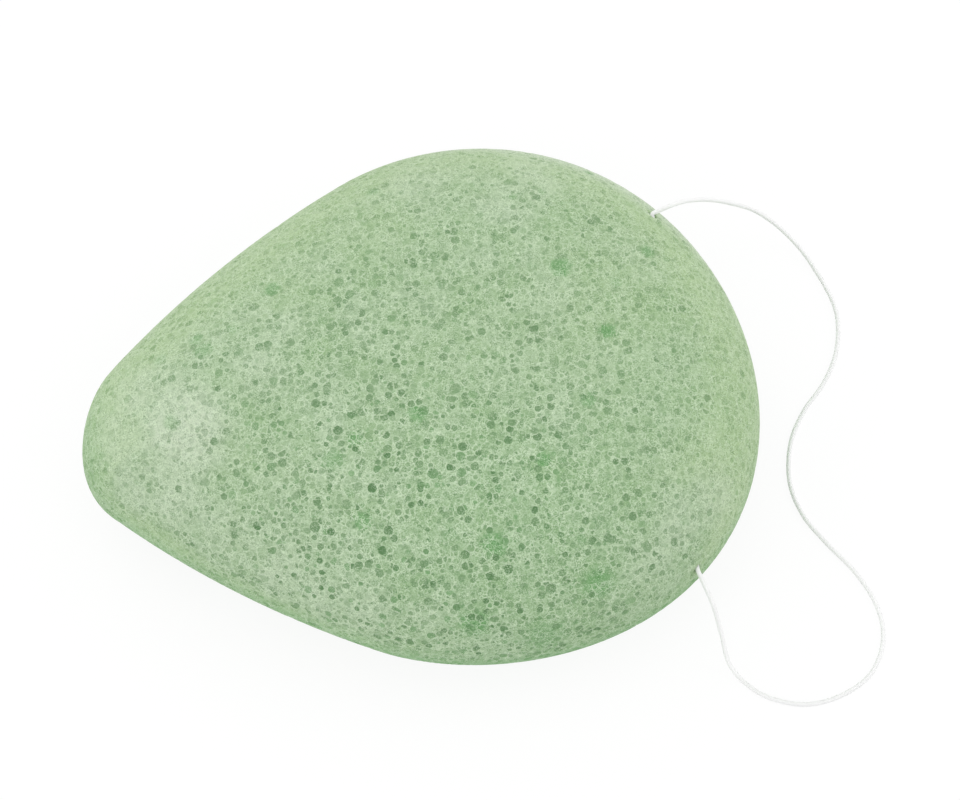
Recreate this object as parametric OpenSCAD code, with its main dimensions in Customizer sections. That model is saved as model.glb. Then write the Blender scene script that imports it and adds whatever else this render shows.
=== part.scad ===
// Konjac sponge: a drop-shaped pad of moulded foam with a thin cotton string through its wide end.
// Millimetres, +Z up. The origin is on the table, under the middle of the sponge.
// The tip points to -X and the wide end to +X.

/* [Sponge] */
// Length of the sponge from tip to wide end
sponge_length = 90; // [80:0.5:105]
// Thickness at the crown
sponge_t = 27; // [22:0.5:34]
// Radius of the wide end, seen from above
wide_r = 36.7; // [33:0.1:42]
// Radius of the tip, seen from above
tip_r = 12.8; // [9:0.1:17]
// Radius of the bowed sides between them, seen from above
side_r = 135; // [100:1:200]
// Height of the sponge's widest line above the table
rim_z = 10; // [8:0.5:13]
// Width of the rounded shoulder above the widest line
shoulder_w = 20; // [15:0.5:24]
// Width of the rounded edge below the widest line
edge_w = 12; // [9:0.5:16]
// Extra rise of the crown from the widest line to the middle
crown_h = 3; // [1:0.5:5]
// Distance from the wide end's centre back to the crown, towards the tip
crown_back = 6; // [2:0.5:12]
// Depth of the flat that the sponge stands on
flat_cut = 0.5; // [0.3:0.1:0.8]
// Depth of the slow three-sided unevenness of the outline
three_lobe = 0.5; // [0:0.1:0.8]
// Depth of the slow four-sided unevenness of the outline
four_lobe = 0.2; // [0:0.1:0.8]

/* [String] */
// Diameter of the cotton string
string_d = 0.6; // [0.5:0.1:1]
// Direction of the upper hole from the wide end's centre, in degrees from +X
upper_hole_angle = 39; // [30:1:60]
// Height of the upper hole, on the shoulder
upper_hole_z = 18.5; // [14:0.5:20]
// Direction of the lower hole from the wide end's centre, in degrees from +X
lower_hole_angle = -48.5; // [-65:0.5:-35]
// Height of the lower hole, just above the widest line
lower_hole_z = 12.3; // [11:0.1:16]
// Gap between the string and the foam round it
string_gap = 0.1; // [0.05:0.05:0.3]
// Gap between the string inside the foam and the loop's rounded ends
pivot_gap = 0.05; // [0.02:0.01:0.1]
// Radius of the dimple in the foam at each hole
dimple_r = 0.8; // [0.7:0.05:1.2]

/* [Knot] */
// Number of turns wound round the string's two ends
knot_turns = 3; // [2:1:5]
// Length of each cut end beyond the knot
cut_end_length = 2.5; // [1:0.5:5]
// Gap between the knot and the foam round it
knot_gap = 0.2; // [0.1:0.05:0.5]

/* [Hidden] */

foam_colour = [0.66, 0.77, 0.61];
string_colour = [0.95, 0.95, 0.93];

// Overrun of every cut
cut_over = 1;

// Facets of the sponge: steps along half of its outline, and rings above and below the widest line
wide_steps = 16;
side_steps = 9;
tip_steps = 7;
shoulder_steps = 12;
edge_steps = 6;
// How much closer the rings lie at the widest line than in the middle, as a power of their share
ring_share = 1.8;
// Innermost ring of the edge, as a share of the outline
base_share = 0.6;
// Squareness of the rounded shoulder and edge, as powers of a share: 2 is an ellipse
shoulder_share = 2.2;
edge_share = 2;

// Plan outline: a wide circle about the origin and a tip circle, joined by side arcs that touch both.
tip_x = -(sponge_length - wide_r - tip_r);
side_in = side_r - wide_r;
side_out = side_r - tip_r;
side_x = (side_in * side_in - side_out * side_out + tip_x * tip_x) / (2 * tip_x);
side_y = -sqrt(side_in * side_in - side_x * side_x);
// Directions at which the side arc begins and ends
side_from = atan2(-side_y, -side_x);
side_to = atan2(-side_y, tip_x - side_x);

function heading(turn) = [cos(turn), sin(turn)];
function lobes(turn) = -three_lobe * sin(3 * turn) - four_lobe * cos(4 * turn);

// Point of the smooth outline whose outward direction is turn, from 0 to 180, for the +Y half
function half_outline(turn) =
    turn <= side_from ? wide_r * heading(turn)
    : turn < side_to ? [side_x, side_y] + side_r * heading(turn)
    : [tip_x, 0] + tip_r * heading(turn);

// The whole outline, with its lobes, for a turn from -180 to 180
function outline(turn) =
    let (half = half_outline(abs(turn)))
    [half.x, turn < 0 ? -half.y : half.y] + lobes(turn) * heading(turn);

half_turns = concat(
    [for (i = [0 : wide_steps - 1]) side_from * i / wide_steps],
    [for (i = [0 : side_steps - 1]) side_from + (side_to - side_from) * i / side_steps],
    [for (i = [0 : tip_steps]) side_to + (180 - side_to) * i / tip_steps]
);
half_count = len(half_turns);
turns = concat(half_turns, [for (i = [half_count - 2 : -1 : 1]) -half_turns[i]]);
edge_points = [for (turn = turns) outline(turn)];

// The middle of the outline's box goes to the origin
middle = [
    (max([for (p = edge_points) p.x]) + min([for (p = edge_points) p.x])) / 2,
    (max([for (p = edge_points) p.y]) + min([for (p = edge_points) p.y])) / 2
];

// The crown, which every ring shrinks towards
crown = [-crown_back, 0];
// Distance from the crown to the outline's tangent at a turn
function reach(turn) = (outline(turn) - crown) * heading(turn);

// Rise of a rounded edge, as a share of its height, from how far in a point lies as a share of its width
function rise_share(in_share, power) = pow(1 - pow(1 - min(in_share, 1), power), 1 / power);

// Height of the shoulder without the crown's rise
shoulder_h = sponge_t - rim_z - crown_h;
function shoulder_z(turn, size_share) =
    rim_z + shoulder_h * rise_share((1 - size_share) * reach(turn) / shoulder_w, shoulder_share)
    + crown_h * (1 - size_share * size_share);
function edge_z(turn, size_share) =
    rim_z - (rim_z + flat_cut) * rise_share((1 - size_share) * reach(turn) / edge_w, edge_share);

function place(turn, size_share, z) =
    let (flat = crown + (outline(turn) - crown) * size_share - middle) [flat.x, flat.y, z];

// Rings from the base up to the widest line, then up to the crown
edge_sizes = [for (i = [edge_steps : -1 : 1]) 1 - (1 - base_share) * pow(i / edge_steps, ring_share)];
shoulder_sizes = [for (i = [0 : shoulder_steps - 1]) 1 - pow(i / shoulder_steps, ring_share)];
rings = concat(
    [for (size_share = edge_sizes) [for (turn = turns) place(turn, size_share, edge_z(turn, size_share))]],
    [for (size_share = shoulder_sizes)
        [for (turn = turns) place(turn, size_share, shoulder_z(turn, size_share))]]
);

// A closed skin over rings of points. Both ends are closed by a fan from a point.
module skin(skin_rings, first, last) {
    count = len(skin_rings[0]);
    ring_count = len(skin_rings);
    points = concat([for (ring = skin_rings) each ring], [first, last]);
    sides = [for (r = [0 : ring_count - 2]) for (i = [0 : count - 1])
        let (a = r * count + i, b = r * count + (i + 1) % count)
        each [[a, a + count, b], [b, a + count, b + count]]];
    first_fan = [for (i = [0 : count - 1]) [ring_count * count, i, (i + 1) % count]];
    top = (ring_count - 1) * count;
    last_fan = [for (i = [0 : count - 1]) [ring_count * count + 1, top + (i + 1) % count, top + i]];
    polyhedron(points = points, faces = concat(sides, first_fan, last_fan), convexity = 4);
}

// Place on the shoulder at a turn and a height, which the crown's own rise then lifts a little
function hole_place(turn, z) =
    let (
        height_share = (z - rim_z) / shoulder_h,
        in_share = 1 - pow(1 - pow(height_share, shoulder_share), 1 / shoulder_share),
        size_share = 1 - in_share * shoulder_w / reach(turn)
    )
    place(turn, size_share, shoulder_z(turn, size_share));

string_r = string_d / 2;
upper_hole = hole_place(upper_hole_angle, upper_hole_z);
lower_hole = hole_place(lower_hole_angle, lower_hole_z);

// Route of the loop outside the foam, between the two holes: it drops from each hole to the table and
// lies there in an S. A height below the string's radius means that it lies on the table.
loop_places = [
    [38, 22, 18.5], [42, 23.5, 15.5], [46, 24.5, 11.5], [49.5, 25, 7.5], [53, 24, 3.5], [56, 21, 1],
    [58, 16.5, 0], [59, 11.5, 0], [58, 6, 0], [55.5, 1.5, 0], [52, -2.5, 0], [49.5, -7, 0],
    [48.5, -12.5, 0], [49.5, -17.5, 0], [52, -22, 0], [55, -26.5, 0], [57, -31.5, 0], [57, -36.5, 0],
    [54.5, -41, 0], [50, -43.5, 0], [45, -44, 0], [40, -42, 0], [36.5, -38, 1], [35.5, -34.5, 4.5],
    [34.5, -32, 9]
];
loop_route = concat([upper_hole], loop_places, [lower_hole]);
// Rings of the loop between one place and the next, and the sides of each ring
loop_steps = 3;
loop_sides = 8;

// A smooth line through places a, b, c and d, from b to c as t goes from 0 to 1
function between(a, b, c, d, t) =
    (2 * b + (c - a) * t + (2 * a - 5 * b + 4 * c - d) * t * t + (3 * b - a - 3 * c + d) * t * t * t) / 2;
function smooth(route, steps) =
    let (
        last = len(route) - 1,
        before = 2 * route[0] - route[1],
        after = 2 * route[last] - route[last - 1]
    )
    concat([for (i = [0 : last - 1]) for (k = [0 : steps - 1])
        between(i == 0 ? before : route[i - 1], route[i], route[i + 1],
            i == last - 1 ? after : route[i + 2], k / steps)], [route[last]]);
function unit(v) = v / norm(v);

loop_line = [for (p = smooth(loop_route, loop_steps)) [p.x, p.y, max(p.z, string_r)]];
loop_last = len(loop_line) - 1;
loop_lengths = [for (i = [1 : loop_last]) norm(loop_line[i] - loop_line[i - 1])];
loop_length = loop_lengths * [for (i = loop_lengths) 1];

function ring_round(point, along, r, sides) =
    let (side = unit(cross([0, 0, 1], along)), up = cross(along, side))
    [for (i = [0 : sides - 1]) let (turn = (i + 0.5) * 360 / sides)
        point + r * (cos(turn) * side + sin(turn) * up)];

function loop_along(i) = unit(loop_line[min(i + 1, loop_last)] - loop_line[max(i - 1, 0)]);

// Slices of the rounded ends, as angles from the end of the tube towards its pole
end_turns = [30, 60];
loop_start = loop_along(0);
loop_end = loop_along(loop_last);
loop_rings = concat(
    [for (i = [len(end_turns) - 1 : -1 : 0])
        ring_round(loop_line[0] - string_r * sin(end_turns[i]) * loop_start, loop_start,
            string_r * cos(end_turns[i]), loop_sides)],
    [for (i = [0 : loop_last]) ring_round(loop_line[i], loop_along(i), string_r, loop_sides)],
    [for (turn = end_turns)
        ring_round(loop_line[loop_last] + string_r * sin(turn) * loop_end, loop_end,
            string_r * cos(turn), loop_sides)]
);

// Straight channel through the foam between the two holes, and the knot in its middle
channel_length = norm(lower_hole - upper_hole);
strand_offset = string_d + pivot_gap;
wrap_r = string_d + string_r / 2;
knot_length = knot_turns * string_d;
knot_r = wrap_r + string_r;
run_from = string_r + pivot_gap;
run_to = (channel_length - knot_length) / 2;

// Puts the children's z axis along the channel, starting at the upper hole
module along_channel() {
    line = lower_hole - upper_hole;
    translate(upper_hole)
        rotate([0, acos(line.z / channel_length), atan2(line.y, line.x)])
            children();
}

module sponge_body() {
    color(foam_colour)
    difference() {
        skin(rings, place(0, 0, -flat_cut), place(0, 0, sponge_t));
        // Flat that it stands on
        translate([-sponge_length, -sponge_length, -sponge_t])
            cube([2 * sponge_length, 2 * sponge_length, sponge_t]);
        // Channel for the string
        along_channel()
            translate([0, 0, -cut_over])
                cylinder(r = string_r + string_gap, h = channel_length + 2 * cut_over, $fn = 32);
        // Room for the knot and its cut ends
        along_channel()
            translate([0, 0, (channel_length - knot_length) / 2 - cut_end_length - knot_gap])
                cylinder(r = knot_r + knot_gap, h = knot_length + 2 * (cut_end_length + knot_gap), $fn = 48);
        // Dimples at the holes
        for (hole = [upper_hole, lower_hole])
            translate(hole)
                sphere(r = dimple_r, $fn = 32);
    }
}

module string_loop() {
    color(string_colour)
        skin(loop_rings, loop_line[0] - string_r * loop_start, loop_line[loop_last] + string_r * loop_end);
}

module string_run(from) {
    color(string_colour)
        along_channel()
            translate([0, 0, from])
                cylinder(r = string_r, h = run_to - run_from, $fn = 24);
}

module string_upper_run() {
    string_run(run_from);
}

module string_lower_run() {
    string_run(run_to + knot_length);
}

module string_knot() {
    color(string_colour)
        along_channel()
            translate([0, 0, run_to]) {
                cylinder(r = wrap_r, h = knot_length, $fn = 32);
                for (i = [0 : knot_turns - 1])
                    translate([0, 0, (i + 0.5) * string_d])
                        rotate_extrude($fn = 48)
                            translate([wrap_r, 0])
                                circle(r = string_r, $fn = 24);
                // The two cut ends leave the knot on opposite sides of the string
                for (end = [0, 1])
                    translate([0, 0, end * knot_length])
                        rotate([180 * (1 - end), 0, 0])
                            translate([0, strand_offset, -string_r])
                                cylinder(r = string_r, h = cut_end_length + string_r, $fn = 24);
            }
}

sponge_body();
string_loop();
string_upper_run();
string_lower_run();
string_knot();

echo(upper_hole = upper_hole, lower_hole = lower_hole, loop_length = loop_length);
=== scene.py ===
import math
import bmesh
import bpy
import numpy as np
from mathutils import Matrix, Vector


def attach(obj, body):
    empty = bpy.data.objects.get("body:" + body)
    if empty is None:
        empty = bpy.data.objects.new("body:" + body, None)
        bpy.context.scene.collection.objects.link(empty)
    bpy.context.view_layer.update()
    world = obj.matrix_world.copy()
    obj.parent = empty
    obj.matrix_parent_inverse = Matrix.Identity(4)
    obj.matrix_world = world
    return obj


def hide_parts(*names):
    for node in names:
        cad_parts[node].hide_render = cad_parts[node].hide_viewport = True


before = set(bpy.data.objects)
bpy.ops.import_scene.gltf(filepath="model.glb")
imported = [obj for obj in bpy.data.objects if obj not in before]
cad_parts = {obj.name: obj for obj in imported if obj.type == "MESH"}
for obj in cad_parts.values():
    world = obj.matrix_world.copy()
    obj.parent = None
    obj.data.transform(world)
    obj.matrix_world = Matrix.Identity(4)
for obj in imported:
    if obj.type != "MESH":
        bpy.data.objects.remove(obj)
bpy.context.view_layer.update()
mm = 0.001

photoCamera = {
    "lookAt": (8.292, 1.323, 8.0),  # mm
    "azimuth": -7.288,  # degrees
    "elevation": 65.0,
    "distance": 480.53,  # mm
    "lens": 135.0,
    "sensor": 36.0,
}


def placeCamera(settings):
    turn = math.radians(settings["azimuth"])
    lift = math.radians(settings["elevation"])
    back = Vector((math.sin(turn) * math.cos(lift), -math.cos(turn) * math.cos(lift), math.sin(lift)))
    data = bpy.data.cameras.new("photoCamera")
    data.lens = settings["lens"]
    data.sensor_width = settings["sensor"]
    camera = bpy.data.objects.new("photoCamera", data)
    camera.location = (Vector(settings["lookAt"]) + back * settings["distance"]) * mm
    camera.rotation_mode = "QUATERNION"
    camera.rotation_quaternion = (-back).to_track_quat("-Z", "Y")
    bpy.context.scene.collection.objects.link(camera)
    bpy.context.scene.camera = camera


placeCamera(photoCamera)
print("camera placed")


# A node's socket in a sum: each operator adds one Math node to the tree
class Wire:
    def __init__(self, bench, socket):
        self.bench = bench
        self.socket = socket

    def sum(self, operation, *values):
        return self.bench.add("ShaderNodeMath", {"operation": operation}, values)

    def __add__(self, other):
        return self.sum("ADD", self, other)

    def __radd__(self, other):
        return self.sum("ADD", other, self)

    def __sub__(self, other):
        return self.sum("SUBTRACT", self, other)

    def __rsub__(self, other):
        return self.sum("SUBTRACT", other, self)

    def __mul__(self, other):
        return self.sum("MULTIPLY", self, other)

    def __rmul__(self, other):
        return self.sum("MULTIPLY", other, self)

    def __truediv__(self, other):
        return self.sum("DIVIDE", self, other)

    def __pow__(self, other):
        return self.sum("POWER", self, other)

    def least(self, other):
        return self.sum("MINIMUM", self, other)

    def most(self, other):
        return self.sum("MAXIMUM", self, other)

    def clamped(self):
        return self.most(0.0).least(1.0)


# A node tree, and the one way in which nodes are put on it
class Bench:
    def __init__(self, tree):
        self.tree = tree

    # settings come first, and then the values or links of the sockets, in order or by name
    def add(self, kind, settings=None, values=(), named=None, out=0):
        node = self.tree.nodes.new(kind)
        for name, value in (settings or {}).items():
            setattr(node, name, value)
        usable = [socket for socket in node.inputs if socket.enabled]
        pairs = list(zip(usable, values))
        pairs += [(node.inputs[name], value) for name, value in (named or {}).items()]
        for socket, value in pairs:
            if isinstance(value, Wire):
                self.tree.links.new(value.socket, socket)
            else:
                socket.default_value = value
        if isinstance(out, str):
            return Wire(self, node.outputs[out])
        return Wire(self, [socket for socket in node.outputs if socket.enabled][out])

    # several outputs of one node
    def outputs(self, wire, *names):
        return [Wire(self, wire.socket.node.outputs[name]) for name in names]

    def parts(self, vector):
        return self.outputs(self.add("ShaderNodeSeparateXYZ", None, [vector]), "X", "Y", "Z")

    def vector(self, operation, first, second):
        return self.add("ShaderNodeVectorMath", {"operation": operation}, [first, second])

    def scaled(self, vector, scale):
        named = {"Vector": vector, "Scale": scale}
        return self.add("ShaderNodeVectorMath", {"operation": "SCALE"}, named=named)

    def mixed(self, share, first, second):
        ends = [end if isinstance(end, Wire) else (*end, 1.0) for end in (first, second)]
        return self.add("ShaderNodeMix", {"data_type": "RGBA"}, [share, *ends])

    def noise(self, place, size, detail=2.0, roughness=0.5, shift=0.0):
        moved = self.vector("ADD", place, (shift, shift * 0.7, -shift))
        named = {"Vector": moved, "Scale": 1.0 / size, "Detail": detail, "Roughness": roughness}
        return self.add("ShaderNodeTexNoise", {"noise_dimensions": "3D"}, named=named, out="Fac")

    # how far value has gone from low to high, held between 0 and 1
    def between(self, value, low, high):
        return ((value - low) / (high - low)).clamped()

    def smoothBetween(self, value, low, high):
        settings = {"interpolation_type": "SMOOTHSTEP"}
        return self.add("ShaderNodeMapRange", settings, [value, low, high, 0.0, 1.0], out="Result")

    # a share, and how much more it is where value is 1
    def rising(self, shares, value):
        return shares[0] + shares[1] * value

    # 1 within a few millimetres of a place in the foam, fading to 0 at its reach
    def zone(self, place, middle, reach, core):
        away = self.add("ShaderNodeVectorMath", {"operation": "DISTANCE"}, [place, middle], out="Value")
        return self.smoothBetween(away, reach, core)

    # the strongest of several zones, each with its share
    def zones(self, place, spots):
        strongest = 0.0
        for middle, reach, core, share in spots:
            strongest = (self.zone(place, middle, reach, core) * share).most(strongest)
        return strongest


def newMaterial(name):
    material = bpy.data.materials.new(name)
    material.use_nodes = True
    material.node_tree.nodes.clear()
    return material, Bench(material.node_tree)


def finishMaterial(bench, shader):
    output = bench.tree.nodes.new("ShaderNodeOutputMaterial")
    bench.tree.links.new(shader.socket, output.inputs["Surface"])


def meshObject(name, bm):
    mesh = bpy.data.meshes.new(name)
    bm.to_mesh(mesh)
    bm.free()
    made = bpy.data.objects.new(name, mesh)
    bpy.context.scene.collection.objects.link(made)
    return made


def evaluatedMesh(made):
    bpy.context.view_layer.update()
    return bpy.data.meshes.new_from_object(made.evaluated_get(bpy.context.evaluated_depsgraph_get()))


stringSettings = {
    "diameter": 0.6,  # mm
    "upperHole": (33.8562, 20.5543, 18.9717),
    "lowerHole": (32.859, -28.2243, 12.325),
    "route": [
        (38, 22, 18.5), (42, 23.5, 15.5), (46, 24.5, 11.5), (49.5, 25, 7.5), (53, 24, 3.5), (56, 21, 1),
        (58, 16.5, 0), (59, 11.5, 0), (58, 6, 0), (55.5, 1.5, 0), (52, -2.5, 0), (49.5, -7, 0),
        (48.5, -12.5, 0), (49.5, -17.5, 0), (52, -22, 0), (55, -26.5, 0), (57, -31.5, 0), (57, -36.5, 0),
        (54.5, -41, 0), (50, -43.5, 0), (45, -44, 0), (40, -42, 0), (36.5, -38, 1), (35.5, -34.5, 4.5),
        (34.5, -32, 9),
    ],
    "curveStep": 0.02,  # share of the way from one route point to the next
    "plies": 3,
    "plyRadius": 0.25,
    "plyOffset": 0.05,
    "plyPoints": 8,
    "lay": 2.0,  # mm of string for one full turn of the plies
    "spacing": 0.1,  # mm between rings
    "merge": 0.005,  # mm
}


# An even line through places, on the same curve as the CAD route, and nowhere under the lowest height
def smoothLine(places, settings, lowest):
    points = [np.array(p, float) for p in places]
    points = [2 * points[0] - points[1]] + points + [2 * points[-1] - points[-2]]
    fine = []
    for a, b, c, d in zip(points, points[1:], points[2:], points[3:]):
        for t in np.arange(0, 1, settings["curveStep"]):
            fine.append((2 * b + (c - a) * t + (2 * a - 5 * b + 4 * c - d) * t * t
                         + (3 * b - a - 3 * c + d) * t * t * t) / 2)
    fine = np.array(fine + [points[-2]])
    fine[:, 2] = np.maximum(fine[:, 2], lowest)
    along = lengthsAlong(fine)
    spots = np.linspace(0, along[-1], round(along[-1] / settings["spacing"]) + 1)
    return np.stack([np.interp(spots, along, fine[:, k]) for k in range(3)], axis=1)


def lengthsAlong(line):
    return np.concatenate([[0], np.cumsum(np.linalg.norm(np.diff(line, axis=0), axis=1))])


# Closed outline of the plies seen end on, as a curve that a thread is swept with
def plyProfile(settings):
    data = bpy.data.curves.new("plyProfile", "CURVE")
    data.dimensions = "2D"
    spline = data.splines.new("POLY")
    plyTurn = 2 * math.pi / settings["plies"]
    count = settings["plyPoints"] * settings["plies"]
    spline.points.add(count - 1)
    for i, point in enumerate(spline.points):
        turn = 2 * math.pi * i / count
        off = ((turn / plyTurn) % 1 - 0.5) * plyTurn  # from the middle of its ply
        side = settings["plyOffset"] * math.sin(off)
        radius = settings["plyOffset"] * math.cos(off)
        radius += math.sqrt(max(settings["plyRadius"] ** 2 - side ** 2, 0))
        point.co = (radius * mm * math.cos(turn), radius * mm * math.sin(turn), 0, 1)
    spline.use_cyclic_u = True
    profile = bpy.data.objects.new("plyProfile", data)
    bpy.context.scene.collection.objects.link(profile)
    return profile


def untapered(share):
    return 1.0


# A twisted thread along a line of points in mm, as one closed mesh. thin gives its width along the line
def twistedThread(name, line, settings, profile, thin=untapered):
    data = bpy.data.curves.new(name + "Line", "CURVE")
    data.dimensions = "3D"
    data.twist_mode = "MINIMUM"
    spline = data.splines.new("POLY")
    spline.points.add(len(line) - 1)
    along = lengthsAlong(line)
    for i, point in enumerate(spline.points):
        point.co = (*(line[i] * mm), 1)
        point.tilt = 2 * math.pi * along[i] / settings["lay"]
        point.radius = thin(along[i] / along[-1])
    data.bevel_mode = "OBJECT"
    data.bevel_object = profile
    data.use_fill_caps = True
    swept = bpy.data.objects.new(name + "Line", data)
    bpy.context.scene.collection.objects.link(swept)
    mesh = evaluatedMesh(swept)
    bpy.data.objects.remove(swept)
    bm = bmesh.new()
    bm.from_mesh(mesh)
    bpy.data.meshes.remove(mesh)
    bmesh.ops.remove_doubles(bm, verts=bm.verts, dist=settings["merge"] * mm)
    bmesh.ops.recalc_face_normals(bm, faces=bm.faces)
    for face in bm.faces:
        face.smooth = True
    return meshObject(name, bm)


cottonLook = {
    "bright": (0.99, 0.99, 0.99),
    "dull": (0.95, 0.952, 0.95),
    "worn": (0.955, 0.955, 0.95),
    "wornShare": 0.15,
    "fuzz": (0.09, 3.0, 0.6),  # size in mm, detail and roughness
    "fuzzSpan": (0.35, 0.62),
    "patches": (1.6, 2.0, 0.5, 4.0),  # and shift
    "patchSpan": (0.35, 0.75),
    "bump": {"Strength": 0.35, "Distance": 0.00003},
    "surface": {
        "Roughness": 0.85, "Sheen Weight": 0.3, "Sheen Roughness": 0.4, "Specular IOR Level": 0.3,
        "Subsurface Weight": 0.8, "Subsurface Radius": (1.0, 1.0, 1.0), "Subsurface Scale": 0.0005,
    },
}


def cottonMaterial(look):
    material, bench = newMaterial("whiteCotton")
    place = bench.scaled(bench.add("ShaderNodeTexCoord", out="Object"), 1 / mm)
    fuzz = bench.noise(place, *look["fuzz"])
    patches = bench.noise(place, *look["patches"])
    colour = bench.mixed(bench.between(fuzz, *look["fuzzSpan"]), look["dull"], look["bright"])
    colour = bench.mixed(bench.between(patches, *look["patchSpan"]) * look["wornShare"], colour, look["worn"])
    bump = bench.add("ShaderNodeBump", named={**look["bump"], "Height": fuzz}, out="Normal")
    named = {"Base Color": colour, "Normal": bump, **look["surface"]}
    finishMaterial(bench, bench.add("ShaderNodeBsdfPrincipled", named=named, out="BSDF"))
    return material


knotSettings = {  # lengths in mm
    "runFrom": 0.35,  # from a hole
    "elbow": 0.33,  # each leg of the bend at a hole
    "elbowSteps": 9,
    "length": 1.8,
    "turns": 3,
    "stepsPerTurn": 24,
    "wrapRadius": 0.76,
    "wrapThin": 0.78,  # the wraps are pulled tight
    "wrapInset": 0.23,
    "coreOffset": 0.28,
    "coreInset": 0.05,
    "endOffset": 0.65,
    "endLength": 1.9,
    "endOverlap": 0.2,
    "endSway": 0.10,
    "swayTurn": 0.35,  # radians for each step
    "endLean": 0.012,  # share of the offset for each step
    "frayLength": 0.6,
    "frayOverlap": 0.05,
    "fraySteps": 6,
    "frayTurn": 0.5,  # radians, and more for each step
    "frayTwist": 0.12,
    "fraySpread": 0.9,  # share of the ply offset, and more for each step
    "frayOpen": 0.16,
    "frayTaper": 0.55,
}


# Points in mm in the channel's own axes, from the upper hole, put into the row frame
def channelPlace(settings, points):
    upper, lower = Vector(settings["upperHole"]), Vector(settings["lowerHole"])
    line = lower - upper
    tilt = Matrix.Rotation(math.acos(line.z / line.length), 3, "Y")
    turn = Matrix.Rotation(math.atan2(line.y, line.x), 3, "Z")
    return np.array([tuple(upper + turn @ (tilt @ Vector(point))) for point in points])


def straightLine(start, end, spacing):
    count = max(2, round(math.dist(start, end) / spacing))
    return [tuple(a + (b - a) * i / count for a, b in zip(start, end)) for i in range(count + 1)]


# One ply of a cut end that has come loose beyond its last point
def frayLine(last, side, ply, settings, knot):
    away = 2 * math.pi * ply / settings["plies"] + knot["frayTurn"]
    points = []
    for i in range(knot["fraySteps"] + 1):
        spread = settings["plyOffset"] * (knot["fraySpread"] + knot["frayOpen"] * i)
        turn = away + knot["frayTwist"] * i
        further = side * (i * knot["frayLength"] / knot["fraySteps"] - knot["frayOverlap"])
        x, y, z = last
        points.append((x + spread * math.cos(turn), y + spread * math.sin(turn), z + further))
    return points


# The knot pulled into the foam: two strands held by three wraps, and two cut ends with frayed tips
def makeKnot(settings, knot, profile, plyOnly, knotFrom):
    threads = []

    def addThread(name, points, outline=profile, thin=untapered):
        threads.append(twistedThread(name, channelPlace(settings, points), settings, outline, thin))

    spacing = settings["spacing"]
    knotTo = knotFrom + knot["length"]
    for side in (-1, 1):
        offset = side * knot["coreOffset"]
        first, last = knotFrom + knot["coreInset"], knotTo - knot["coreInset"]
        addThread("coreStrand", straightLine((0, offset, first), (0, offset, last), spacing))
    steps = knot["stepsPerTurn"] * knot["turns"]
    wraps = []
    for i in range(steps + 1):
        turn = 2 * math.pi * knot["turns"] * i / steps
        z = knotFrom + knot["wrapInset"] + (knot["length"] - 2 * knot["wrapInset"]) * i / steps
        wraps.append((knot["wrapRadius"] * math.cos(turn), knot["wrapRadius"] * math.sin(turn), z))
    addThread("wrapStrand", wraps, thin=lambda share: knot["wrapThin"])
    for side in (-1, 1):
        z = (knotTo if side > 0 else knotFrom) - side * knot["endOverlap"]
        end = []
        for i in range(round((knot["endLength"] + knot["endOverlap"]) / spacing) + 1):
            sway = side * knot["endSway"] * math.sin(i * knot["swayTurn"])
            end.append((sway, side * knot["endOffset"] * (1 - knot["endLean"] * i), z + side * i * spacing))
        addThread("cutEnd", end)
        for ply in range(settings["plies"]):
            fray = frayLine(end[-1], side, ply, settings, knot)
            addThread("frayedPly", fray, plyOnly, lambda share: 1 - knot["frayTaper"] * share * share)
    return threads


def joinPieces(name, pieces):
    bm = bmesh.new()
    for piece in pieces:
        bm.from_mesh(piece.data)
        bpy.data.objects.remove(piece)
    return meshObject(name, bm)


# The bend by which the loop turns into the channel at a hole, along the line it swings about
def elbow(inside, line, knot):
    along = lengthsAlong(line)
    outside = np.array([np.interp(knot["elbow"], along, line[:, k]) for k in range(3)])
    steps = np.linspace(0, 1, knot["elbowSteps"])[:, None]
    return (1 - steps) ** 2 * inside + 2 * steps * (1 - steps) * line[0] + steps ** 2 * outside


def makeString(settings, knot):
    cotton = cottonMaterial(cottonLook)
    profile = plyProfile(settings)
    plyOnly = plyProfile({**settings, "plies": 1, "plyOffset": 0.0})
    places = [settings["upperHole"]] + settings["route"] + [settings["lowerHole"]]
    line = smoothLine(places, settings, settings["diameter"] / 2)
    channelLength = math.dist(settings["upperHole"], settings["lowerHole"])
    leg = knot["elbow"]
    insides = channelPlace(settings, [(0, 0, leg), (0, 0, channelLength - leg)])
    firstBend = elbow(insides[0], line, knot)
    lastBend = elbow(insides[1], line[::-1], knot)
    bent = round(leg / settings["spacing"]) + 1
    whole = np.vstack([firstBend, line[bent:-bent], lastBend[::-1]])
    loop = twistedThread("hangingLoop", whole, settings, profile)
    loop.data.materials.append(cotton)
    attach(loop, "hanging_loop")
    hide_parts("string_loop")
    [v * mm for v in settings["upperHole"]]
    knotFrom = (channelLength - knot["length"]) / 2
    knotTo = knotFrom + knot["length"]
    runs = {"upperRun": (knot["runFrom"], knotFrom, "string_upper_run"),
            "lowerRun": (knotTo, channelLength - knot["runFrom"], "string_lower_run")}
    hidden = []
    for name, (start, end, node) in runs.items():
        points = channelPlace(settings, straightLine((0, 0, start), (0, 0, end), settings["spacing"]))
        hidden.append((twistedThread(name, points, settings, profile), node))
    knotPieces = makeKnot(settings, knot, profile, plyOnly, knotFrom)
    hidden.append((joinPieces("drawnKnot", knotPieces), "string_knot"))
    for piece, node in hidden:
        piece.data.materials.append(cotton)
        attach(piece, "sponge")
        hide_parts(node)
    bpy.data.objects.remove(profile)
    bpy.data.objects.remove(plyOnly)
    print("string in the foam", sum(len(piece.data.polygons) for piece, node in hidden), "faces")


makeString(stringSettings, knotSettings)

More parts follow.
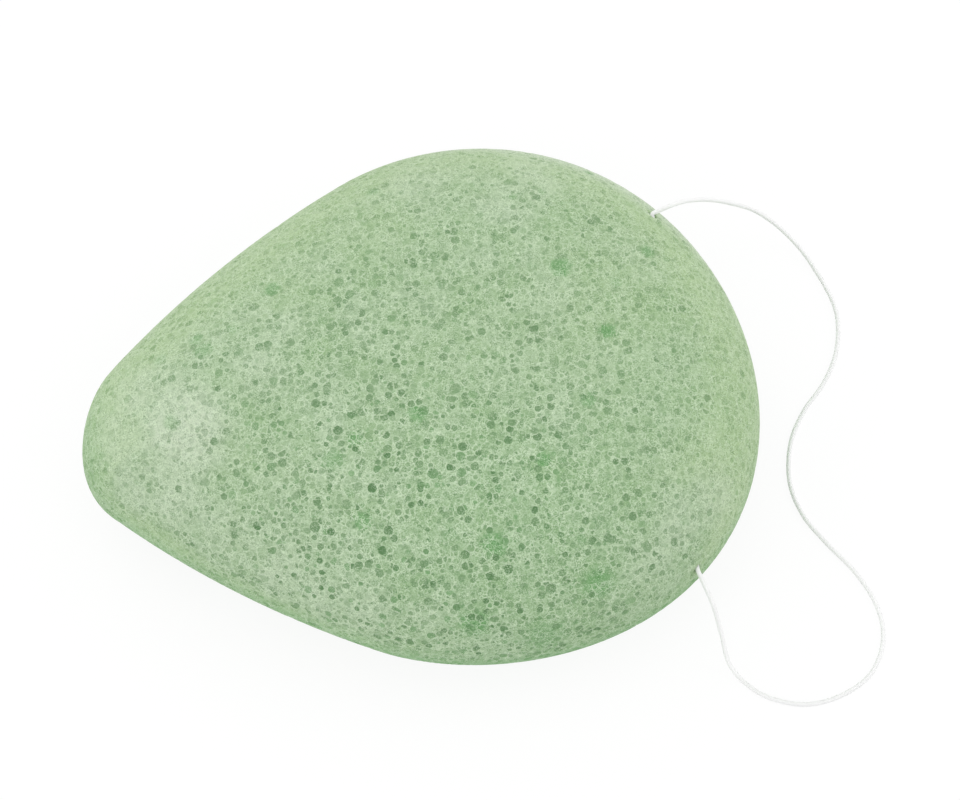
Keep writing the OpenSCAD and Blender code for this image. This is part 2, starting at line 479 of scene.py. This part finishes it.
spongeShape = {  # mm
    "length": 90.0, "thickness": 27.0,
    "wideRadius": 36.7, "tipRadius": 12.8, "sideRadius": 135.0,
    "rimHeight": 10.0, "shoulderWidth": 20.0, "edgeWidth": 12.0,
    "crownHeight": 3.0, "crownBack": 6.0, "flatCut": 0.5,
    "threeLobe": 0.5, "fourLobe": 0.2,
    "shoulderPower": 2.2, "edgePower": 2.0,
    "columns": 288, "rows": 144, "outlineSteps": 4001,
    "voxel": 0.2, "quickVoxel": 0.4,
}
channelShape = {  # mm
    "radius": 0.4,
    "roomRadius": 1.25,  # room for the knot, halfway along
    "roomLength": 7.2,
    "past": 1.0,  # how far the cutter goes on beyond the holes
    "dimple": 0.62,  # radius of the foam's hollow around a hole
    "sides": 32,
    "rings": 16,
    "merge": 0.001,
}


# Point of the outline whose outward direction is turn, in radians
def outlinePoint(turn, shape):
    tipX = -(shape["length"] - shape["wideRadius"] - shape["tipRadius"])
    sideIn = shape["sideRadius"] - shape["wideRadius"]
    sideOut = shape["sideRadius"] - shape["tipRadius"]
    sideX = (sideIn ** 2 - sideOut ** 2 + tipX ** 2) / (2 * tipX)
    sideY = -math.sqrt(sideIn ** 2 - sideX ** 2)
    sideFrom = math.atan2(-sideY, -sideX)
    sideTo = math.atan2(-sideY, tipX - sideX)
    size = abs(turn)
    head = (math.cos(size), math.sin(size))
    if size <= sideFrom:
        x, y = shape["wideRadius"] * head[0], shape["wideRadius"] * head[1]
    elif size < sideTo:
        x, y = sideX + shape["sideRadius"] * head[0], sideY + shape["sideRadius"] * head[1]
    else:
        x, y = tipX + shape["tipRadius"] * head[0], shape["tipRadius"] * head[1]
    lobes = -shape["threeLobe"] * math.sin(3 * turn) - shape["fourLobe"] * math.cos(4 * turn)
    return (x + lobes * math.cos(turn), (-y if turn < 0 else y) + lobes * math.sin(turn))


def riseShare(inShare, power):
    return (1 - (1 - min(inShare, 1)) ** power) ** (1 / power)


# Height of the foam above the table, some way inside the outline. level and share say where on the ball
def foamHeight(level, inside, share, shape):
    rimHeight = shape["rimHeight"]
    if level >= 0:
        rise = shape["thickness"] - rimHeight - shape["crownHeight"]
        return (rimHeight + rise * riseShare(inside / shape["shoulderWidth"], shape["shoulderPower"])
                + shape["crownHeight"] * (1 - share * share))
    fall = rimHeight + shape["flatCut"]
    return rimHeight - fall * riseShare(inside / shape["edgeWidth"], shape["edgePower"])


# A ball whose columns are drawn out to the outline around the crown
def spongeForm(shape):
    bm = bmesh.new()
    columns = shape["columns"]
    bmesh.ops.create_uvsphere(bm, u_segments=columns, v_segments=shape["rows"], radius=1)
    points = np.array([outlinePoint(2 * math.pi * i / columns - math.pi, shape) for i in range(columns)])
    middle = (points.max(0) + points.min(0)) / 2
    denseTurns = np.linspace(-math.pi, math.pi, shape["outlineSteps"])
    dense = np.array([outlinePoint(turn, shape) for turn in denseTurns])
    crown = np.array([-shape["crownBack"], 0.0])
    aim = np.unwrap(np.arctan2(dense[:, 1] - crown[1], dense[:, 0] - crown[0]))
    outline = {}
    for vert in bm.verts:
        heading = math.atan2(vert.co.y, vert.co.x)
        level = math.asin(max(-1, min(1, vert.co.z)))
        share = math.cos(level)
        key = round(heading, 5)
        if key not in outline:
            turn = float(np.interp(heading, aim, denseTurns))
            edge = np.array(outlinePoint(turn, shape))
            outline[key] = (edge, float((edge - crown) @ [math.cos(turn), math.sin(turn)]))
        edge, reach = outline[key]
        z = foamHeight(level, (1 - share) * reach, share, shape)
        place = crown + (edge - crown) * share - middle
        vert.co = (place[0], place[1], max(z, 0.0))
    return bm


def applyModifiers(made):
    mesh = evaluatedMesh(made)
    old = made.data
    made.modifiers.clear()
    made.data = mesh
    bpy.data.meshes.remove(old)


# What the string takes out of the foam: the channel with room for the knot, and a dimple at each hole
def cutChannel(sponge, settings, shape):
    upper, lower = Vector(settings["upperHole"]), Vector(settings["lowerHole"])
    line = lower - upper
    start, end = -shape["past"], line.length + shape["past"]
    roomFrom = (line.length - shape["roomLength"]) / 2
    roomTo = (line.length + shape["roomLength"]) / 2
    narrow, wide = shape["radius"], shape["roomRadius"]
    steps = [(0, start), (narrow, start), (narrow, roomFrom), (wide, roomFrom),
             (wide, roomTo), (narrow, roomTo), (narrow, end), (0, end)]
    bm = bmesh.new()
    verts = [bm.verts.new((r, 0, z)) for r, z in steps]
    edges = [bm.edges.new(pair) for pair in zip(verts, verts[1:])]
    bmesh.ops.spin(bm, geom=verts + edges, cent=(0, 0, 0), axis=(0, 0, 1), angle=2 * math.pi,
                   steps=shape["sides"], use_merge=True)
    bmesh.ops.remove_doubles(bm, verts=bm.verts, dist=shape["merge"])
    bmesh.ops.recalc_face_normals(bm, faces=bm.faces)
    turnTo = line.to_track_quat("Z", "Y").to_matrix().to_4x4()
    bmesh.ops.transform(bm, matrix=Matrix.Translation(upper) @ turnTo, verts=bm.verts)
    cutters = [meshObject("channelCut", bm)]
    for hole in (upper, lower):
        bm = bmesh.new()
        bmesh.ops.create_uvsphere(bm, u_segments=shape["sides"], v_segments=shape["rings"],
                                  radius=shape["dimple"], matrix=Matrix.Translation(hole))
        cutters.append(meshObject("dimpleCut", bm))
    for cutter in cutters:
        cut = sponge.modifiers.new("cut", "BOOLEAN")
        cut.operation = "DIFFERENCE"
        cut.solver = "EXACT"
        cut.object = cutter
    applyModifiers(sponge)
    for cutter in cutters:
        bpy.data.objects.remove(cutter)


def makeSponge(shape):
    sponge = meshObject("konjacSponge", spongeForm(shape))
    cutChannel(sponge, stringSettings, channelShape)
    remesh = sponge.modifiers.new("evenFaces", "REMESH")
    remesh.mode = "VOXEL"
    remesh.voxel_size = shape["voxel"]
    applyModifiers(sponge)
    print("sponge", len(sponge.data.polygons), "faces")
    return sponge


sponge = makeSponge(spongeShape)

# Spacing of the bubbles' middles, their least and most radius and the wall between two are in mm. open is the
# share of them that the surface cuts. tone and power set how dark they are, lip and net how pale their edges
# the pores' darkness is partly their own deeper colour and partly painted shade in their hollows
poreLayers = [  # smallest first: each next one lies over those before it
    {"spacing": 0.82, "least": 0.21, "most": 0.41, "open": 1.0, "wall": 0.03, "cover": 0.85, "lip": 0.5,
     "net": 0.65, "tone": 0.48, "power": 1.2, "depth": 0.25, "shift": 31.0},
    {"spacing": 1.05, "least": 0.30, "most": 0.55, "open": 1.0, "wall": 0.04, "cover": 0.85, "lip": 0.7,
     "net": 0.0, "tone": 0.70, "power": 1.0, "depth": 0.32, "shift": 13.0},
    {"spacing": 1.35, "least": 0.36, "most": 0.66, "open": 0.85, "wall": 0.05, "cover": 0.9, "lip": 0.7,
     "net": 0.0, "tone": 0.78, "power": 1.0, "depth": 0.34, "shift": 51.0},
    {"spacing": 2.2, "least": 0.42, "most": 0.76, "open": 0.35, "wall": 0.05, "cover": 0.9, "lip": 0.5,
     "net": 0.0, "tone": 0.85, "power": 0.9, "depth": 0.40, "shift": 0.0},
]
# bubbles that only tint: the fine ones between the pores, and the damp patches
fineLayer = {"spacing": 0.42, "least": 0.13, "most": 0.29, "open": 1.0, "wall": 0.0,
             "tone": 1.0, "power": 1.0, "shift": 57.0}
dampLayer = {"spacing": 5.0, "least": 0.4, "most": 1.5, "open": 0.5, "wall": 0.1,
             "tone": 1.0, "power": 1.0, "shift": 77.0}
poreLook = {
    "dent": 0.12, "tint": 0.07, "fine": 0.05, "damp": 0.6,  # mm in from its edge, where a pore is full
    "lipOutside": (-0.09, -0.02),  # mm in from its edge
    "lipInside": (0.03, -0.02),
    "net": (0.06, 0.02),  # mm from the wall between two bubbles
    "open": (0.0, 0.02),  # of a bubble's own random share
    "green": (0.14, 0.12),
    "depthShares": (0.4, 0.6),
    "footFade": (0.0, 0.6),  # mm of height: no dents where the foam stands on the table
}
poreWarp = {"size": 0.35, "reach": 0.2}  # mm, makes the pores' outlines uneven
foamZones = {  # middle, reach and full part in mm
    "dense": ((-4.0, -24.0, 20.0), 36.0, 6.0),
    # painted shade where the near side meets the table
    "nearFootShade": ((14.0, -38.0, 8.0), 34.0, 12.0),
    # painted shade: darker zones, most of them low on the foam
    "deepShade": [  # and share
        ((10.0, -31.0, 18.0), 32.0, 8.0, 0.5),
        ((-49.0, -4.0, 10.0), 16.0, 6.0, 0.75),
        ((-32.0, -24.0, 6.0), 11.0, 5.0, 0.45),
        ((31.5, -6.5, 23.5), 14.0, 4.0, 0.25),
    ],
    # spots of smooth skin on the top, whose paler tint is partly a painted highlight
    "skin": [
        ((31.0, 5.0, 24.8), 20.0, 4.0, 0.35),
        ((-4.9, 22.5, 24.1), 12.0, 3.0, 0.45),
        ((-17.6, 15.4, 23.9), 12.0, 3.0, 0.4),
    ],
    # painted highlights: pale patches on the tip's crest, along both near shoulders and on the far edge
    "paleHighlight": [
        ((-31.0, -5.0, 24.5), 11.0, 1.0, 1.0),
        ((-33.5, -9.0, 21.5), 8.0, 1.0, 0.7),
        ((-36.0, 0.5, 23.0), 8.0, 1.0, 0.6),
        ((-39.0, -4.0, 21.0), 8.0, 1.0, 0.5),
        ((-37.5, -9.5, 17.5), 7.0, 1.0, 0.6),
        ((-33.0, -13.0, 18.5), 7.0, 1.0, 0.6),
        ((-25.8, -18.8, 18.9), 7.0, 1.0, 0.5),
        ((-20.6, -23.4, 17.8), 7.0, 1.0, 0.45),
        ((-15.9, -27.5, 16.1), 7.0, 1.0, 0.35),
        ((-9.3, -30.6, 16.9), 7.0, 1.0, 0.4),
        ((-2.8, -32.8, 17.2), 6.0, 1.0, 0.35),
        ((35.7, -20.9, 18.5), 6.0, 1.0, 0.6),
        ((30.6, -24.8, 19.7), 6.0, 1.0, 0.5),
        ((26.3, -28.8, 19.0), 6.0, 1.0, 0.35),
        ((4.5, 26.0, 22.0), 9.0, 1.0, 0.35),
        ((11.0, 26.0, 22.5), 9.0, 1.0, 0.3),
        ((18.5, 26.0, 22.0), 9.0, 1.0, 0.35),
        ((13.0, 23.0, 25.0), 7.0, 1.0, 0.35),
        ((-23.1, 4.0, 25.8), 13.0, 3.0, 0.25),
    ],
    "stains": [
        ((24.8, 0.6, 26.1), 1.4, 0.7, 0.9),
        ((14.1, -16.4, 26.3), 1.3, 0.6, 0.9),
        ((20.0, 10.5, 26.2), 1.9, 0.8, 0.8),
        ((6.6, -26.3, 24.0), 2.1, 0.9, 0.9),
        ((-1.0, -8.3, 26.8), 1.7, 0.7, 0.8),
        ((-9.6, -21.0, 24.1), 1.6, 0.7, 0.8),
        ((20.9, -8.8, 26.3), 1.4, 0.6, 0.7),
        ((3.1, -33.9, 17.4), 2.7, 1.0, 0.9),
        ((19.2, -31.2, 19.4), 2.9, 1.0, 0.8),
        ((-9.2, -10.6, 26.4), 1.3, 0.6, 0.8),
        ((-12.3, -12.9, 25.9), 1.9, 0.8, 0.5),
        ((-27.3, 5.2, 24.8), 1.8, 0.8, 0.5),
        ((11.9, -35.7, 14.1), 4.5, 1.0, 0.5),
    ],
}


# Ball-shaped bubbles about random centres, cut by the surface: where they are, how dark (partly painted shade
# in their hollows), how deep in mm, their pale lips, and which of them are a deeper green
def bubbles(bench, place, layer, soft):
    moved = bench.vector("ADD", place, (layer["shift"],) * 3)
    named = {"Vector": moved, "Scale": 1 / layer["spacing"], "Randomness": 1.0}
    cell = bench.add("ShaderNodeTexVoronoi", {"feature": "F1"}, named=named, out="Distance")
    distance, tints = bench.outputs(cell, "Distance", "Color")
    size, tone, isOpen = bench.parts(tints)
    distance = distance * layer["spacing"]
    radius = bench.rising((layer["least"], layer["most"] - layer["least"]), size)
    opened = bench.between(layer["open"] - isOpen, *poreLook["open"]) if layer["open"] < 1 else 1.0
    within = radius - distance
    if layer["wall"]:
        edge = bench.add("ShaderNodeTexVoronoi", {"feature": "DISTANCE_TO_EDGE"}, named=named, out="Distance")
        wall = edge * layer["spacing"]
        within = within.least(wall - layer["wall"])
    disc = bench.between(within, 0.0, soft) * opened
    found = {"disc": disc, "dark": tone ** layer["power"] * layer["tone"]}
    if "depth" in layer:
        hollow = (radius * radius - distance * distance).most(0.0) ** 0.5
        found["depth"] = hollow * layer["depth"] * bench.rising(poreLook["depthShares"], tone) * disc
        found["green"] = bench.between(isOpen, *poreLook["green"])
        lip = bench.between(within, *poreLook["lipOutside"]) * bench.between(within, *poreLook["lipInside"])
        found["lip"] = lip * opened * layer["lip"]
        if layer["net"]:
            found["lip"] = found["lip"].most(bench.between(wall, *poreLook["net"]) * layer["net"])
    return found


# The place with a small uneven shift
def warped(bench, place):
    named = {"Vector": place, "Scale": 1 / poreWarp["size"]}
    noise = bench.add("ShaderNodeTexNoise", {"noise_dimensions": "3D"}, named=named, out="Color")
    shift = bench.vector("SUBTRACT", noise, (0.5, 0.5, 0.5))  # from the noise's middle
    return bench.vector("ADD", place, bench.scaled(shift, poreWarp["reach"]))


# Dents the sponge by its larger bubbles, and keeps where each point lay before
def dentPores(sponge, layers):
    tree = bpy.data.node_groups.new("dentPores", "GeometryNodeTree")
    tree.interface.new_socket("Geometry", in_out="INPUT", socket_type="NodeSocketGeometry")
    tree.interface.new_socket("Geometry", in_out="OUTPUT", socket_type="NodeSocketGeometry")
    bench = Bench(tree)
    kept = bench.add("NodeGroupInput")
    place = bench.add("GeometryNodeInputPosition")
    normal = bench.add("GeometryNodeInputNormal")
    for name, value in (("restPlace", place), ("restNormal", normal)):
        kept = bench.add("GeometryNodeStoreNamedAttribute", {"data_type": "FLOAT_VECTOR", "domain": "POINT"},
                         named={"Geometry": kept, "Name": name, "Value": value})
    height = bench.parts(place)[2]
    depth = 0.0
    bent = warped(bench, place)
    for layer in layers:
        depth = bubbles(bench, bent, layer, poreLook["dent"])["depth"].most(depth)
    depth = depth * bench.between(height, *poreLook["footFade"])
    inwards = bench.scaled(normal, depth * -1.0)
    dented = bench.add("GeometryNodeSetPosition", named={"Geometry": kept, "Offset": inwards})
    outgoing = tree.nodes.new("NodeGroupOutput")
    tree.links.new(dented.socket, outgoing.inputs[0])
    modifier = sponge.modifiers.new("dentPores", "NODES")
    modifier.node_group = tree
    applyModifiers(sponge)


foamColours = {
    "ground": (0.30, 0.46, 0.235),
    "groundPale": (0.42, 0.555, 0.36),
    # the skin's paler tint: partly the smooth skin's own colour, partly a painted highlight on the flanks
    "skin": (0.42, 0.575, 0.305),
    # the colour of the painted highlights
    "paleHighlight": (0.58, 0.68, 0.51),
    # colours of the painted shade low on the flanks, near the table
    "rimShade": (0.26, 0.475, 0.21),
    "footShade": (0.17, 0.41, 0.14),
    # the colour of the painted shade zones
    "deepShade": (0.265, 0.445, 0.215),
    "damp": (0.17, 0.37, 0.14),
    "grain": (0.54, 0.68, 0.46),
    "fineDark": (0.14, 0.27, 0.11),
    "finePale": (0.60, 0.74, 0.52),
    "stain": (0.12, 0.335, 0.10),
    "greenPore": (0.135, 0.34, 0.115),
    # the pores' dark colour, partly painted shade in their hollows
    "pore": (0.115, 0.245, 0.095),
    "lip": (0.64, 0.77, 0.56),
    "speckPale": (0.70, 0.83, 0.62),
    "speckDark": (0.10, 0.20, 0.08),
}
foamNoises = {  # size in mm, detail, roughness and shift
    "specks": (0.17, 1.0, 0.7, 12.0),
    "grain": (0.6, 2.0, 0.6, 5.0),
    "breaks": (1.5, 2.0, 0.6, 21.0),
    "rough": (1.3, 2.0, 0.6, 33.0),
    "patches": (6.0, 3.0, 0.55, 3.0),
    "clusters": (3.0, 2.0, 0.6, 8.0),
}
foamSpans = {  # where each one starts and where it is full
    "skin": (0.99, 0.78),  # of how far the foam faces up
    "underside": (-0.75, -0.98),
    # where the far edge's painted highlight lies, by the way that the foam faces
    "farEdgeHighlight": (0.92, 0.60),
    "farEdgeEnd": (-0.1, 0.4),
    "farEdgeSide": (0.60, 0.85),
    # heights at which the painted shade near the table begins and is full
    "rimShade": (14.0, 9.0),  # mm of height
    "footShade": (11.0, 6.5),
    "nearFootShade": (11.0, 7.5),
    "breaks": (0.38, 0.55),  # of a noise or a bubble's tone
    "rough": (0.38, 0.60),
    "patches": (0.3, 0.7),
    "clusters": (0.3, 0.7),
    "grain": (0.45, 0.75),
    "fineDark": (0.4, 1.0),
    "finePale": (0.6, 0.0),
    "speckPale": (0.5, 0.8),
    "speckDark": (0.5, 0.2),
}
foamShares = {  # a pair is a share, and how much more it becomes
    # the skin's tint is partly, and the far edge's and pale zones' tints are wholly, painted highlight; the
    # rim's, foot's and near foot's tints are painted shade
    "skin": 0.75, "farEdgeHighlight": 0.9, "rimShade": 0.8, "footShade": 0.85, "nearFootShade": 0.4, "paleHighlight": 0.9, "damp": 0.8,
    "grain": 0.4, "fine": 0.4, "plainPores": 0.8,
    "frontSideFrom": 0.3, "frontSide": 1.4,  # foam that faces -y has less skin: more pores and less of the skin's painted highlight
    "farEdgeSide": 0.9, "farEdgeAlong": 0.5,
    "underside": (1.0, -0.85),  # the flanks' looks fade out there
    "palePatches": (0.4, 1.2),
    "skinPores": (1.0, -0.5),
    "clusterPores": (0.6, 0.8),
    "palePores": (1.0, -0.2),
    "densePores": (0.87, 0.5),
    "stains": (0.8, 0.2),
    "greens": (0.15, 0.45),
    "lips": (0.35, 0.5),
    "specks": (0.3, 0.5),
}
foamSurface = {
    "stainRag": 5.0,  # times the pores' own unevenness
    "relief": {"grain": 0.4, "specks": 0.6, "lips": 0.5},
    "bump": {"Strength": 0.3, "Distance": 0.00008},
    "shader": {
        "Roughness": 0.55, "Specular IOR Level": 0.3,
        "Subsurface Weight": 0.25, "Subsurface Radius": (1.0, 1.0, 0.8), "Subsurface Scale": 0.0008,
    },
}


# The pore layers over one another: darkness that is partly painted shade in the hollows, pale lips, where the
# ground is plain, and the green ones
def layeredPores(bench, place, layers):
    tone, lips, plain, greens = 0.0, 0.0, 0.0, 0.0
    for layer in layers:
        found = bubbles(bench, place, layer, poreLook["tint"])
        cover = found["disc"] * layer["cover"]
        tone = tone * (1 - cover) + found["dark"] * cover
        greens = greens * (1 - cover) + found["green"] * cover
        lips = (lips * (1 - found["disc"])).most(found["lip"])
        plain = cover.most(plain)
    return tone, lips, plain, greens


# Shares of skin, whose paler tint is partly a painted highlight, of what isn't underside, and of the far
# edge's painted highlight, by the way that the foam faces
def facingParts(bench, place, normal):
    along, side, up = bench.parts(normal)
    # foam facing -y gets less skin, and so less of its painted highlight: that side is darker
    frontSide = (side * -1.0 - foamShares["frontSideFrom"]).most(0.0) * foamShares["frontSide"]
    skin = bench.smoothBetween(up + frontSide, *foamSpans["skin"])
    flank = bench.rising(foamShares["underside"], bench.smoothBetween(up, *foamSpans["underside"]))
    skin = skin.most(bench.zones(place, foamZones["skin"])) * flank
    sideways = side * foamShares["farEdgeSide"] + along * foamShares["farEdgeAlong"]
    farEdgeHighlight = bench.smoothBetween(up, *foamSpans["farEdgeHighlight"])
    farEdgeHighlight = farEdgeHighlight * bench.smoothBetween(sideways, *foamSpans["farEdgeSide"])
    return skin, flank, farEdgeHighlight * bench.smoothBetween(up, *foamSpans["farEdgeEnd"])


def foamMaterial(layers):
    material, bench = newMaterial("konjacFoam")
    place = bench.add("ShaderNodeAttribute", {"attribute_name": "restPlace"}, out="Vector")
    normal = bench.add("ShaderNodeAttribute", {"attribute_name": "restNormal"}, out="Vector")
    height = bench.parts(place)[2]
    noises = {name: bench.noise(place, *values) for name, values in foamNoises.items()}
    skin, flank, farEdgeHighlight = facingParts(bench, place, normal)

    def part(name):
        return bench.between(noises[name], *foamSpans[name])

    # painted shade on the flanks, growing towards the table
    def lowShade(name):
        return bench.smoothBetween(height, *foamSpans[name]) * flank

    def tinted(share, under, name):
        return bench.mixed(share, under, foamColours[name])

    bent = warped(bench, place)
    tone, lips, plain, greens = layeredPores(bench, bent, layers)
    fine = bubbles(bench, place, fineLayer, poreLook["fine"])
    damp = bubbles(bench, place, dampLayer, poreLook["damp"])
    rough = part("rough")
    dense = bench.zone(place, *foamZones["dense"])
    deepShade = bench.zones(place, foamZones["deepShade"])
    # painted highlights, broken up by the patches noise
    paleHighlight = bench.zones(place, foamZones["paleHighlight"]) * bench.rising(foamShares["palePatches"], noises["patches"])
    ragged = bench.scaled(bench.vector("SUBTRACT", warped(bench, bent), place), foamSurface["stainRag"])
    stains = bench.zones(bench.vector("ADD", place, ragged), foamZones["stains"])
    strength = bench.rising(foamShares["skinPores"], skin)
    strength = strength * bench.rising(foamShares["clusterPores"], part("clusters"))
    strength = strength * bench.rising(foamShares["palePores"], paleHighlight)
    strength = strength * bench.rising(foamShares["densePores"], dense)
    tone = (tone * strength).least(1.0)

    ground = bench.mixed(part("patches"), foamColours["ground"], foamColours["groundPale"])
    # the skin's paler tint on the flanks and on spots of the top, partly a painted highlight
    ground = tinted(skin * foamShares["skin"], ground, "skin")
    # painted highlight on the upper flanks that face +y and +x
    ground = tinted(farEdgeHighlight * foamShares["farEdgeHighlight"], ground, "paleHighlight")
    # painted shade low on the flanks, darker towards the table
    ground = tinted(lowShade("rimShade") * foamShares["rimShade"], ground, "rimShade")
    ground = tinted(lowShade("footShade") * foamShares["footShade"], ground, "footShade")
    # painted shade zones
    ground = tinted(deepShade, ground, "deepShade")
    # painted highlights on the tip, the near shoulders and the far edge
    ground = tinted(paleHighlight * foamShares["paleHighlight"], ground, "paleHighlight")
    ground = tinted(damp["disc"] * damp["dark"] * foamShares["damp"], ground, "damp")

    foam = tinted(part("grain") * foamShares["grain"], ground, "grain")
    for name in ("fineDark", "finePale"):
        share = fine["disc"] * bench.between(fine["dark"], *foamSpans[name])
        foam = tinted(share * foamShares["fine"], foam, name)
    foam = bench.mixed(plain * foamShares["plainPores"], foam, ground)
    foam = tinted(stains * bench.rising(foamShares["stains"], rough), foam, "stain")
    foam = tinted(greens * bench.rising(foamShares["greens"], dense), foam, "greenPore")
    # the pores' dark tint, partly painted shade in their hollows
    foam = tinted(tone, foam, "pore")
    foam = tinted(lips * part("breaks") * bench.rising(foamShares["lips"], strength), foam, "lip")
    for name in ("speckPale", "speckDark"):
        share = bench.between(noises["specks"], *foamSpans[name])
        foam = tinted(share * bench.rising(foamShares["specks"], rough), foam, name)
    # more painted shade where the near side meets the table
    nearFootShade = bench.zone(place, *foamZones["nearFootShade"]) * lowShade("nearFootShade")
    foam = tinted(nearFootShade * foamShares["nearFootShade"], foam, "footShade")

    relief = foamSurface["relief"]
    raised = noises["grain"] * relief["grain"] + noises["specks"] * relief["specks"]
    raised = raised + lips * relief["lips"] - tone
    bump = bench.add("ShaderNodeBump", named={**foamSurface["bump"], "Height": raised}, out="Normal")
    named = {"Base Color": foam, "Normal": bump, **foamSurface["shader"]}
    finishMaterial(bench, bench.add("ShaderNodeBsdfPrincipled", named=named, out="BSDF"))
    return material


bakeMap = {
    "centre": (2.3, 0.0),  # mm, the crown that both sides are unrolled from
    "split": 10.0,  # mm, the height at which they part
    "channelReach": 1.4,  # mm from the channel's line
    "channelPast": 0.5,  # mm beyond the holes
    "channelEnds": 3.0,  # mm from a hole, where the foam's outside is near the line too
    "inwards": 0.3,  # share of a face's direction that points to the channel's line
    "leastReach": 0.01,  # mm
    "top": (0.002, 0.480, 0.998, 0.998),  # left, bottom, right and top on the map
    "underside": (0.002, 0.026, 0.998, 0.474),
    "channel": (0.002, 0.002, 0.998, 0.020),
}


def meshValues(values, name, kind, width=1):
    found = np.empty(len(values) * width, kind)
    values.foreach_get(name, found)
    return found.reshape(-1, width) if width > 1 else found


# The sponge's UV map for a bake: its top and underside, each unrolled, and a strip for the channel
def layBakeMap(sponge, settings, string):
    mesh = sponge.data
    corners = meshValues(mesh.loops, "vertex_index", np.int32)
    sides = meshValues(mesh.polygons, "loop_total", np.int32)
    starts = np.concatenate([[0], np.cumsum(sides)[:-1]])
    place = meshValues(mesh.attributes["restPlace"].data, "vector", np.float32, 3)[corners]
    normal = meshValues(mesh.attributes["restNormal"].data, "vector", np.float32, 3)[corners]
    middle = np.add.reduceat(place, starts) / sides[:, None]
    facing = np.add.reduceat(normal, starts) / sides[:, None]

    upper, lower = np.array(string["upperHole"]), np.array(string["lowerHole"])
    length = np.linalg.norm(lower - upper)
    axis = (lower - upper) / length
    along = (middle - upper) @ axis
    toLine = upper + along[:, None] * axis - middle
    gap = np.linalg.norm(toLine, axis=1)
    past, ends = settings["channelPast"], settings["channelEnds"]
    near = (gap < settings["channelReach"]) & (along > -past) & (along < length + past)
    inwards = (facing * toLine).sum(1) > settings["inwards"] * gap
    within = (along > ends) & (along < length - ends)
    chart = np.where(middle[:, 2] > settings["split"], 0, 1)
    chart[near & (inwards | within)] = 2
    chart = np.repeat(chart, sides)

    away = place[:, :2] - settings["centre"]
    reach = np.maximum(np.linalg.norm(away, axis=1), settings["leastReach"])
    drop = np.where(chart == 0, place[:, 2].max() - place[:, 2], place[:, 2])
    spread = away * (1 + drop / reach)[:, None]
    across = np.cross(axis, (0.0, 0.0, 1.0))
    offset = place - upper
    spun = np.arctan2(offset @ np.cross(axis, across), offset @ across)
    spread[chart == 2] = np.stack([offset @ axis, spun], 1)[chart == 2]
    spread[chart == 1] *= (-1.0, 1.0)  # seen from below
    uv = np.zeros((len(corners), 2), np.float32)
    for number, name in enumerate(("top", "underside", "channel")):
        mine = chart == number
        left, bottom, right, top = settings[name]
        least, most = spread[mine].min(0), spread[mine].max(0)
        uv[mine] = (left, bottom) + (spread[mine] - least) / (most - least) * (right - left, top - bottom)
    layer = mesh.uv_layers.new(name="OFBake")
    layer.data.foreach_set("uv", uv.ravel())
    print("bake map", [int((chart == number).sum()) for number in range(3)], "corners")


dentPores(sponge, poreLayers)
layBakeMap(sponge, bakeMap, stringSettings)
sponge.data.transform(Matrix.Scale(mm, 4))
for polygon in sponge.data.polygons:
    polygon.use_smooth = True
sponge.data.materials.clear()
sponge.data.materials.append(foamMaterial(poreLayers))
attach(sponge, "sponge")
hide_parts("sponge_body")

studio = {  # sizes and places in metres, power in watts
    "floorWidth": 4.0,
    "floorWhite": 0.8,
    "floorGlow": 0.85,  # share of the glow where the floor itself is seen
    "glow": 1.045,
    "world": 0.82,  # strength of the sky where it lights other things
    "lamps": [
        {"name": "leftLamp", "at": (-0.55, -0.25, 0.25), "size": 0.4, "power": 0.62},
        {"name": "backLamp", "at": (-0.25, 0.55, 0.30), "size": 0.4, "power": 0.45},
        {"name": "rightLamp", "at": (0.55, 0.0, 0.28), "size": 0.4, "power": 0.52},
        {"name": "topLamp", "at": (0.0, 0.10, 0.70), "size": 0.5, "power": 0.40},
    ],
}


# 1 for rays that show the surface itself, and 0 for those that light other things
def seenDirectly(bench):
    path = bench.add("ShaderNodeLightPath", out="Is Camera Ray")
    camera, glossy, through = bench.outputs(path, "Is Camera Ray", "Is Glossy Ray", "Is Transmission Ray")
    return camera.most(glossy).most(through)


def makeFloor(settings):
    bm = bmesh.new()
    bmesh.ops.create_grid(bm, x_segments=1, y_segments=1, size=settings["floorWidth"] / 2)
    floor = meshObject("paleFloor", bm)
    material, bench = newMaterial("paleFloor")
    seen = seenDirectly(bench)
    white = settings["floorWhite"]
    diffuse = bench.add("ShaderNodeBsdfDiffuse", None, [(white, white, white, 1)])
    glow = bench.add("ShaderNodeEmission", None, [(1, 1, 1, 1), settings["glow"]])
    shader = bench.add("ShaderNodeMixShader", None, [seen * settings["floorGlow"], diffuse, glow])
    finishMaterial(bench, shader)
    floor.data.materials.append(material)


def makeWorld(settings):
    world = bpy.data.worlds.new("softStudio")
    world.use_nodes = True
    world.node_tree.nodes.clear()
    bench = Bench(world.node_tree)
    strength = bench.rising((settings["world"], 1 - settings["world"]), seenDirectly(bench))
    sky = bench.add("ShaderNodeBackground", None, [(1, 1, 1, 1), strength])
    output = world.node_tree.nodes.new("ShaderNodeOutputWorld")
    world.node_tree.links.new(sky.socket, output.inputs["Surface"])
    bpy.context.scene.world = world


def makeLamps(lamps):
    for lamp in lamps:
        data = bpy.data.lights.new(lamp["name"], "AREA")
        data.shape = "DISK"
        data.size = lamp["size"]
        data.energy = lamp["power"]
        made = bpy.data.objects.new(lamp["name"], data)
        made.location = lamp["at"]
        made.rotation_euler = (-Vector(lamp["at"])).to_track_quat("-Z", "Y").to_euler()
        bpy.context.scene.collection.objects.link(made)


makeFloor(studio)
makeWorld(studio)
makeLamps(studio["lamps"])
bpy.context.scene.view_settings.view_transform = "Standard"
print("floor and light placed")

print("ready")
